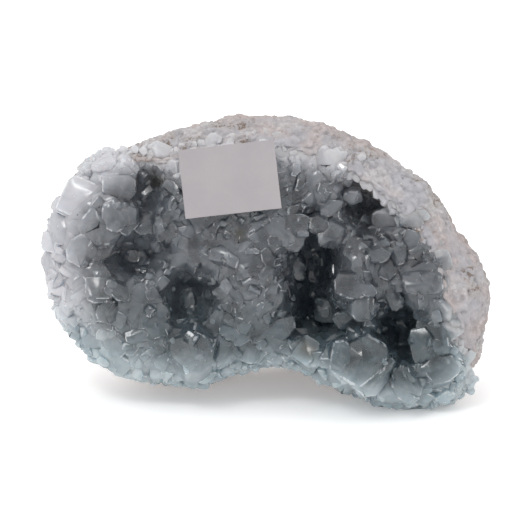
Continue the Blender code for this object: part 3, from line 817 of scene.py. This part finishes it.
# Painted shade: spots on the right flank and low on the right, on the knob, at the foot of the
# middle ridge and beside the shallow hollow at the left, painted darker: (across, up, half width,
# half height)
PAINTED_SHADE_SPOTS = (
    (40.0, 3.0, 8.5, 13.0),
    (41.0, -19.0, 8.0, 10.0),
    (-27.0, 4.0, 9.0, 7.0),
    (6.0, -18.5, 14.0, 6.5),
    (22.0, -8.0, 8.0, 10.0),
    (42.0, -16.0, 8.0, 8.0),
    (45.0, -4.0, 8.0, 14.0),
)
WARM_PLACES = ((-40.5, -9.0, 6.0, 7.5), (-54.0, 24.0, 5.0, 4.0), (46.0, 10.0, 8.0, 9.0))


def add_camera():
    """A long lens, tilted down by as much as the face leans back."""
    aim = FACE_CENTRE + ACROSS * (PICTURE / 2 - FACE_CENTRE_AT[0]) * PIXEL
    aim -= UP * (PICTURE / 2 - FACE_CENTRE_AT[1]) * PIXEL
    bpy.ops.object.camera_add(location=aim + OUT * CAMERA_DISTANCE)
    camera = bpy.context.object
    camera.rotation_euler = (math.pi / 2 - LEAN, 0, 0)
    camera.data.sensor_width = SENSOR_WIDTH
    camera.data.lens = SENSOR_WIDTH * CAMERA_DISTANCE / (PICTURE * PIXEL)
    camera.data.clip_end = FARTHEST_SEEN
    bpy.context.scene.camera = camera


class Recipe:
    """A material's nodes, wired one after the other."""

    def __init__(self, name):
        self.stuff = bpy.data.materials.new(name)
        self.stuff.use_nodes = True
        self.nodes = self.stuff.node_tree.nodes
        self.links = self.stuff.node_tree.links
        self.shader = self.nodes["Principled BSDF"]
        self.place = self.nodes.new("ShaderNodeTexCoord").outputs["Object"]

    def feed(self, socket, value):
        if isinstance(value, bpy.types.NodeSocket):
            self.links.new(value, socket)
        elif isinstance(value, tuple) and len(value) == 3 and socket.type == "RGBA":
            socket.default_value = (*value, 1.0)
        else:
            socket.default_value = value

    def noise(self, size, detail=3.0, rough=0.55, twist=0.0):
        """Cloudy noise, whose blotches are about this many millimetres across."""
        node = self.nodes.new("ShaderNodeTexNoise")
        node.inputs["Scale"].default_value = 1 / (size * MM)
        node.inputs["Detail"].default_value = detail
        node.inputs["Roughness"].default_value = rough
        node.inputs["Distortion"].default_value = twist
        self.feed(node.inputs["Vector"], self.place)
        return node.outputs["Fac"]

    def cells(self, size):
        """How far each place is from the middle of its cell, about this many millimetres wide."""
        node = self.nodes.new("ShaderNodeTexVoronoi")
        node.inputs["Scale"].default_value = 1 / (size * MM)
        self.feed(node.inputs["Vector"], self.place)
        return node.outputs["Distance"]

    def attribute(self, name):
        node = self.nodes.new("ShaderNodeAttribute")
        node.attribute_name = name
        return node.outputs["Fac"]

    def axis(self, name):
        node = self.nodes.new("ShaderNodeSeparateXYZ")
        self.feed(node.inputs[0], self.place)
        return node.outputs[name]

    def between(self, value, low, high, at_low=0.0, at_high=1.0):
        """Runs smoothly from at_low to at_high while the value goes from low to high."""
        node = self.nodes.new("ShaderNodeMapRange")
        node.interpolation_type = "SMOOTHSTEP"
        ends = {"From Min": low, "From Max": high, "To Min": at_low, "To Max": at_high}
        for name, number in ends.items():
            self.feed(node.inputs[name], number)
        self.feed(node.inputs["Value"], value)
        return node.outputs["Result"]

    def maths(self, operation, a, b=0.0):
        node = self.nodes.new("ShaderNodeMath")
        node.operation = operation
        self.feed(node.inputs[0], a)
        self.feed(node.inputs[1], b)
        return node.outputs[0]

    def mixed(self, share, first, second, blend="MIX"):
        node = self.nodes.new("ShaderNodeMix")
        node.data_type = "RGBA"
        node.blend_type = blend
        colours = [socket for socket in node.inputs if socket.type == "RGBA"]
        self.feed(node.inputs["Factor"], share)
        for socket, colour in zip(colours, (first, second)):
            self.feed(socket, colour)
        return next(socket for socket in node.outputs if socket.type == "RGBA")

    def bump(self, heights):
        """Stacks bumps: (height, how strong, how many millimetres from low to high)."""
        normal = None
        for height, strength, depth in heights:
            node = self.nodes.new("ShaderNodeBump")
            node.inputs["Strength"].default_value = strength
            node.inputs["Distance"].default_value = depth * MM
            self.feed(node.inputs["Height"], height)
            if normal is not None:
                self.feed(node.inputs["Normal"], normal)
            normal = node.outputs["Normal"]
        self.feed(self.shader.inputs["Normal"], normal)

    def set(self, **inputs):
        for name, value in inputs.items():
            self.feed(self.shader.inputs[name.replace("_", " ")], value)


LAVENDER = (0.70, 0.695, 0.74)
# AQUA_FLOOR_GLOW is painted light: the glow of floor light shining through the crystals low down
AQUA_FLOOR_GLOW = (0.47, 0.585, 0.625)
# FROST_AND_HIGHLIGHT: milky frost, also used as painted highlight on the rims
FROST_AND_HIGHLIGHT = (0.74, 0.74, 0.76)
CHALK = (0.40, 0.39, 0.395)
ICY = (0.385, 0.385, 0.415)
SLATE = (0.20, 0.24, 0.28)
# MIDDLE_SHADE and TEAL are painted shade: the darker colour of the middle of the face, teal towards
# its foot
MIDDLE_SHADE = (0.20, 0.235, 0.27)
TEAL = (0.12, 0.19, 0.225)
# painted shade deep in the pockets, also the colour of the small dark specks
POCKET_SHADE_AND_SPECKS = (0.10, 0.13, 0.14)
OLIVE = (0.13, 0.11, 0.05)
CREAM = (0.46, 0.45, 0.41)
CLEAR_BLUE = (0.48, 0.57, 0.68, 1)  # what is left of white light deep in a crystal
CLEAR_DENSITY = 55
CELESTITE_IOR = 1.62

PALE_WALL, PINKISH_WALL = (0.52, 0.50, 0.50), (0.50, 0.42, 0.40)
GREY_BLOT, DARK_GRAIN, PALE_GRAIN = (0.29, 0.28, 0.30), (0.24, 0.21, 0.195), (0.72, 0.70, 0.70)
BROWN_DIRT = (0.15, 0.105, 0.07)

DULL_PAPER, PALE_PAPER, FIBRE = (0.315, 0.293, 0.306), (0.34, 0.318, 0.328), (0.26, 0.245, 0.255)
TABLE_WHITE, TABLE_GLOW = (0.94, 0.94, 0.94), 0.21
WORLD_LIGHT = 0.87
FLOOR_SIZE = 80


def celestite():
    """Milky pale blue crystal, clearer inside, with frost and painted highlight on its edges,
    chalky by the rind; a painted aqua glow low down, and painted shade in the middle, in the
    pockets and at listed spots.
    """
    made = Recipe("celestite")
    # painted light: towards the bottom the crystal turns aqua, a painted glow of floor light
    # shining through
    low = made.between(made.axis("Z"), 0.034, 0.014)
    # painted shade for the middle of the face, teal towards its foot
    middle = made.mixed(made.between(made.axis("Z"), 0.040, 0.020), MIDDLE_SHADE, TEAL)
    clouds = made.noise(7.0, detail=4.0, twist=0.6)
    fine = made.noise(1.6, detail=4.0)
    tone = made.attribute("tone")
    worn = made.between(fine, 0.42, 0.56, 0.15, 1.0)
    # the rims are partly frosted wear and partly painted highlight, broken up by noise
    rim = made.maths("MULTIPLY", made.attribute("rim"), worn)
    flecks = made.between(made.noise(3.0, detail=3.0, rough=0.5, twist=1.5), 0.5, 0.75, 0.0, 0.25)
    chalk = made.attribute("chalk")
    chalk = made.maths("MULTIPLY", chalk, made.between(clouds, 0.35, 0.6, 0.6, 1.0))
    inner = made.maths("SUBTRACT", 1.0, made.attribute("edge"))
    dots = made.between(made.cells(8.0), 0.035, 0.05, 0.8, 0.0)
    colour = made.mixed(low, LAVENDER, AQUA_FLOOR_GLOW)
    colour = made.mixed(made.maths("MULTIPLY", made.attribute("warm"), 0.7), colour, CREAM)
    colour = made.mixed(made.between(clouds, 0.3, 0.7, 0.0, 0.35), colour, FROST_AND_HIGHLIGHT)
    colour = made.mixed(made.between(tone, 0.0, 1.0, 0.2, 0.0), colour, SLATE)
    # painted shade: the middle of the face, away from its edge, is painted darker
    colour = made.mixed(made.maths("MULTIPLY", inner, 0.84), colour, middle)
    # painted highlight and frost: pale rims on the bevels, and white flecks
    frost_and_highlight = made.maths("MAXIMUM", made.maths("MULTIPLY", rim, 0.65), flecks)
    colour = made.mixed(frost_and_highlight, colour, FROST_AND_HIGHLIGHT)
    colour = made.mixed(made.maths("MULTIPLY", chalk, 0.8), colour, CHALK)
    # painted shade: darker the deeper a point lies in a pocket
    colour = made.mixed(made.maths("MULTIPLY", made.attribute("deep"), 0.52), colour, POCKET_SHADE_AND_SPECKS)
    colour = made.mixed(made.maths("MULTIPLY", made.attribute("stain"), 0.8), colour, OLIVE)
    colour = made.mixed(dots, colour, POCKET_SHADE_AND_SPECKS)
    clear = made.maths("ADD", clouds, made.maths("MULTIPLY", tone, 0.25))
    clear = made.between(clear, 0.35, 0.85, 0.92, 0.62)
    clear = made.maths("MULTIPLY", clear, made.between(inner, 0.0, 1.0, 0.55, 1.0))
    solid = made.maths(
        "MAXIMUM", made.maths("MULTIPLY", chalk, 0.85), made.maths("MULTIPLY", rim, 0.4)
    )
    clear = made.maths("MULTIPLY", clear, made.maths("SUBTRACT", 1.0, solid))
    rough = made.between(fine, 0.3, 0.75, 0.12, 0.28)
    rough = made.maths("ADD", rough, made.maths("MULTIPLY", chalk, 0.4))
    rough = made.between(made.attribute("gloss"), 0.0, 1.0, rough, 0.06)
    made.set(Base_Color=colour, Roughness=rough, Transmission_Weight=clear)
    made.shader.inputs["IOR"].default_value = CELESTITE_IOR
    made.shader.inputs["Subsurface Weight"].default_value = 0.7
    made.shader.inputs["Subsurface Radius"].default_value = (0.8, 1.0, 1.1)
    made.shader.inputs["Subsurface Scale"].default_value = 0.003
    made.bump(((made.noise(2.6, detail=3.0), 0.1, 0.25), (fine, 0.05, 0.08)))
    volume = made.nodes.new("ShaderNodeVolumeAbsorption")
    volume.inputs["Color"].default_value = CLEAR_BLUE
    volume.inputs["Density"].default_value = CLEAR_DENSITY
    made.links.new(volume.outputs[0], made.nodes["Material Output"].inputs["Volume"])
    return made.stuff


def chalky_rind():
    """A pale, pitted crust with pinkish and grey patches, and brown dirt in its hollows."""
    made = Recipe("chalky rind")
    patches = made.noise(13.0, detail=4.0, twist=0.8)
    grain = made.noise(1.1, detail=5.0, rough=0.65)
    blots = made.noise(3.6, detail=5.0, rough=0.6, twist=1.2)
    pits = made.cells(1.5)
    colour = made.mixed(made.between(patches, 0.38, 0.6), PALE_WALL, PINKISH_WALL)
    colour = made.mixed(made.between(blots, 0.48, 0.66, 0.0, 0.75), colour, GREY_BLOT)
    colour = made.mixed(made.between(grain, 0.35, 0.62, 0.6, 0.0), colour, DARK_GRAIN)
    colour = made.mixed(made.between(grain, 0.58, 0.74, 0.0, 0.6), colour, PALE_GRAIN)
    colour = made.mixed(made.maths("MULTIPLY", made.attribute("rimward"), 0.8), colour, ICY)
    stain = made.maths(
        "MULTIPLY",
        made.between(made.noise(10.0, detail=3.0, twist=0.5), 0.53, 0.63),
        made.between(grain, 0.46, 0.58),
    )
    colour = made.mixed(made.maths("MULTIPLY", stain, 0.85), colour, BROWN_DIRT)
    made.set(Base_Color=colour, Roughness=made.between(grain, 0.3, 0.7, 0.75, 0.95))
    made.shader.inputs["Specular IOR Level"].default_value = 0.3
    made.bump(((blots, 0.5, 0.6), (grain, 0.7, 0.35), (pits, 0.4, 0.3)))
    return made.stuff


def paper():
    """Thin pinkish grey paper, with a faint grain and a little dirt."""
    made = Recipe("tag paper")
    fibres = made.noise(0.5, detail=5.0, rough=0.7)
    cloud = made.noise(9.0, detail=3.0)
    colour = made.mixed(made.between(cloud, 0.3, 0.7), DULL_PAPER, PALE_PAPER)
    colour = made.mixed(made.between(fibres, 0.35, 0.7, 0.12, 0.0), colour, FIBRE)
    made.set(Base_Color=colour, Roughness=0.62)
    made.bump(((cloud, 0.15, 0.3), (fibres, 0.15, 0.03)))
    return made.stuff


def lit_table():
    """A plain white table top with a faint light of its own, which keeps shadows pale."""
    made = Recipe("floor")
    made.set(Base_Color=TABLE_WHITE, Roughness=0.9)
    made.shader.inputs["Emission Color"].default_value = (1, 1, 1, 1)
    made.shader.inputs["Emission Strength"].default_value = TABLE_GLOW
    return made.stuff


def rind_stone():
    """The nodule's wall: the solid's own shape, smoothed, then weathered."""
    stone = frame["nodes"]["rind"].copy()
    stone.data = stone.data.copy()
    stone.name = "rind_stone"
    bpy.context.collection.objects.link(stone)
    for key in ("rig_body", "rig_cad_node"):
        if key in stone:
            del stone[key]
    stone.parent = None
    alone(stone)
    bpy.ops.object.mode_set(mode="EDIT")
    bpy.ops.mesh.select_all(action="SELECT")
    bpy.ops.mesh.remove_doubles(threshold=1e-6)
    bpy.ops.object.mode_set(mode="OBJECT")
    bpy.ops.object.shade_smooth()
    apply_modifier(stone, "SUBSURF", levels=3, render_levels=3)
    weather(stone)
    return stone


def weather(stone):
    """Lumps, ledges and pits, which die out on the worn spots that it rests on."""
    normals = [vertex.normal.copy() for vertex in stone.data.vertices]
    rimward = []
    for vertex, normal in zip(stone.data.vertices, normals):
        place = vertex.co / MM
        at = on_face(vertex.co)
        theta = math.atan2(at.y, at.x)
        near = smooth(1 - (rim_out(theta) - at.z) / RIMWARD) * covered(theta)
        near *= 0.4 + 0.6 * smooth(0.5 + 1.6 * noise.noise(place / 6.0))
        rimward.append(near)
        lumps = noise.noise(place / 5.0) * 0.55 + noise.noise(place / 2.4 + Vector((9, 3, 1))) * 0.4
        first, second = noise.voronoi(place / 2.6)[0][:2]
        grains = (smooth((second - first) * 2.2) - 0.6) * mix(0.45, 0.8, near)
        pit = max(0.0, noise.noise(place / 1.7 + Vector((3, 8, 5))) - 0.12) * 1.1
        ledge = abs(noise.noise(place / 8.0 + Vector((5, 2, 8)))) * 0.9
        moved = (lumps + grains - pit - ledge + 0.2) * smooth(place.z / 3.0)
        vertex.co = vertex.co + normal * moved * MM
        vertex.co.z = max(0.0, vertex.co.z)
    kept = stone.data.attributes.new("rimward", "FLOAT", "POINT")
    kept.data.foreach_set("value", rimward)


def add_area(name, place, size, power, aim):
    bpy.ops.object.light_add(type="AREA", location=place)
    lamp = bpy.context.object
    lamp.name = name
    lamp.data.size = size
    lamp.data.energy = power
    lamp.rotation_euler = (Vector(aim) - Vector(place)).to_track_quat("-Z", "Y").to_euler()
    return lamp


def place_values(crust):
    """Gives each point how deep in a pocket, near the edge, chalky, stained and warm it is; the
    depth and the edge value carry painted shade.
    """
    names = ("deep", "edge", "chalk", "stain", "warm")
    values = {name: [] for name in names}
    for vertex in crust.data.vertices:
        place = on_face(vertex.co)
        theta = math.atan2(place.y, place.x)
        share = min(1.0, bed_share(place.x, place.y)[1])
        edge = rim_out(theta) - EDGE_BEHIND_RIM
        power = 2 / FACE_FULLNESS
        level = edge + (FACE_OUT - edge) * max(0.0, math.cos(share * math.pi / 2)) ** power
        inward = rim_radius(theta) - math.hypot(place.x, place.y)
        # how far a point lies below the face, which the material paints as shade in the pockets
        values["deep"].append(smooth((level - place.z - DEEP_FROM) / DEEP_OVER))
        # painted shade: at the listed spots the edge value drops, so the material paints them
        # darker
        shade = 1 - 0.9 * spots(PAINTED_SHADE_SPOTS, place)
        # the edge value falls towards the middle of the face, which the material paints darker as
        # painted shade
        values["edge"].append(shade * smooth((share - EDGE_FROM) / EDGE_OVER))
        chalky = mix(*CHALK_INWARD, smooth((math.degrees(theta) - 5) / 35))
        values["chalk"].append(covered(theta) * smooth(1 - inward / chalky))
        values["stain"].append(spots(STAINS, place))
        values["warm"].append(spots(WARM_PLACES, place))
    for name in names:
        kept = crust.data.attributes.new(name, "FLOAT", "POINT")
        kept.data.foreach_set("value", values[name])


def spots(places, place):
    """1 at the middle of these places, and less around them."""
    total = 0.0
    for x, y, half_width, half_height in places:
        reach = ((place.x - x) / half_width) ** 2 + ((place.y - y) / half_height) ** 2
        total += math.exp(-reach)
    return min(1.0, total)


def dressed(piece, stuff, node):
    """Gives a piece its material, attaches it to the root body, and hides the part that it stands
    for.
    """
    piece.data.materials.clear()
    piece.data.materials.append(stuff)
    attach(piece, "root")
    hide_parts(node)


add_camera()
crust = crystal_crust()
place_values(crust)
dressed(crust, celestite(), "crystal_crust")
dressed(rind_stone(), chalky_rind(), "rind")
tag = frame["nodes"]["paper_tag"]
tag.data.materials.clear()
tag.data.materials.append(paper())

bpy.ops.object.select_all(action="DESELECT")
bpy.ops.mesh.primitive_plane_add(size=FLOOR_SIZE, location=(0, 0, 0))
floor = bpy.context.object
floor.name = "floor"
floor.data.materials.append(lit_table())

world = bpy.data.worlds.new("studio")
bpy.context.scene.world = world
world.use_nodes = True
world.node_tree.nodes["Background"].inputs["Color"].default_value = (1, 1, 1, 1)
world.node_tree.nodes["Background"].inputs["Strength"].default_value = WORLD_LIGHT
add_area("softbox_above", (0.0, -0.1, 1.0), 2.0, 5.5, (0, 0, 0))
add_area("softbox_left", (-1.0, -0.25, 0.4), 1.4, 1.9, (0, 0, 0.03))
add_area("softbox_right", (1.0, -0.15, 0.4), 0.8, 0.3, (0, 0, 0.03))
add_area("softbox_small", (-0.35, -0.7, 0.95), 0.3, 2.8, (0, 0, 0.04))

bpy.context.scene.view_settings.view_transform = "Standard"
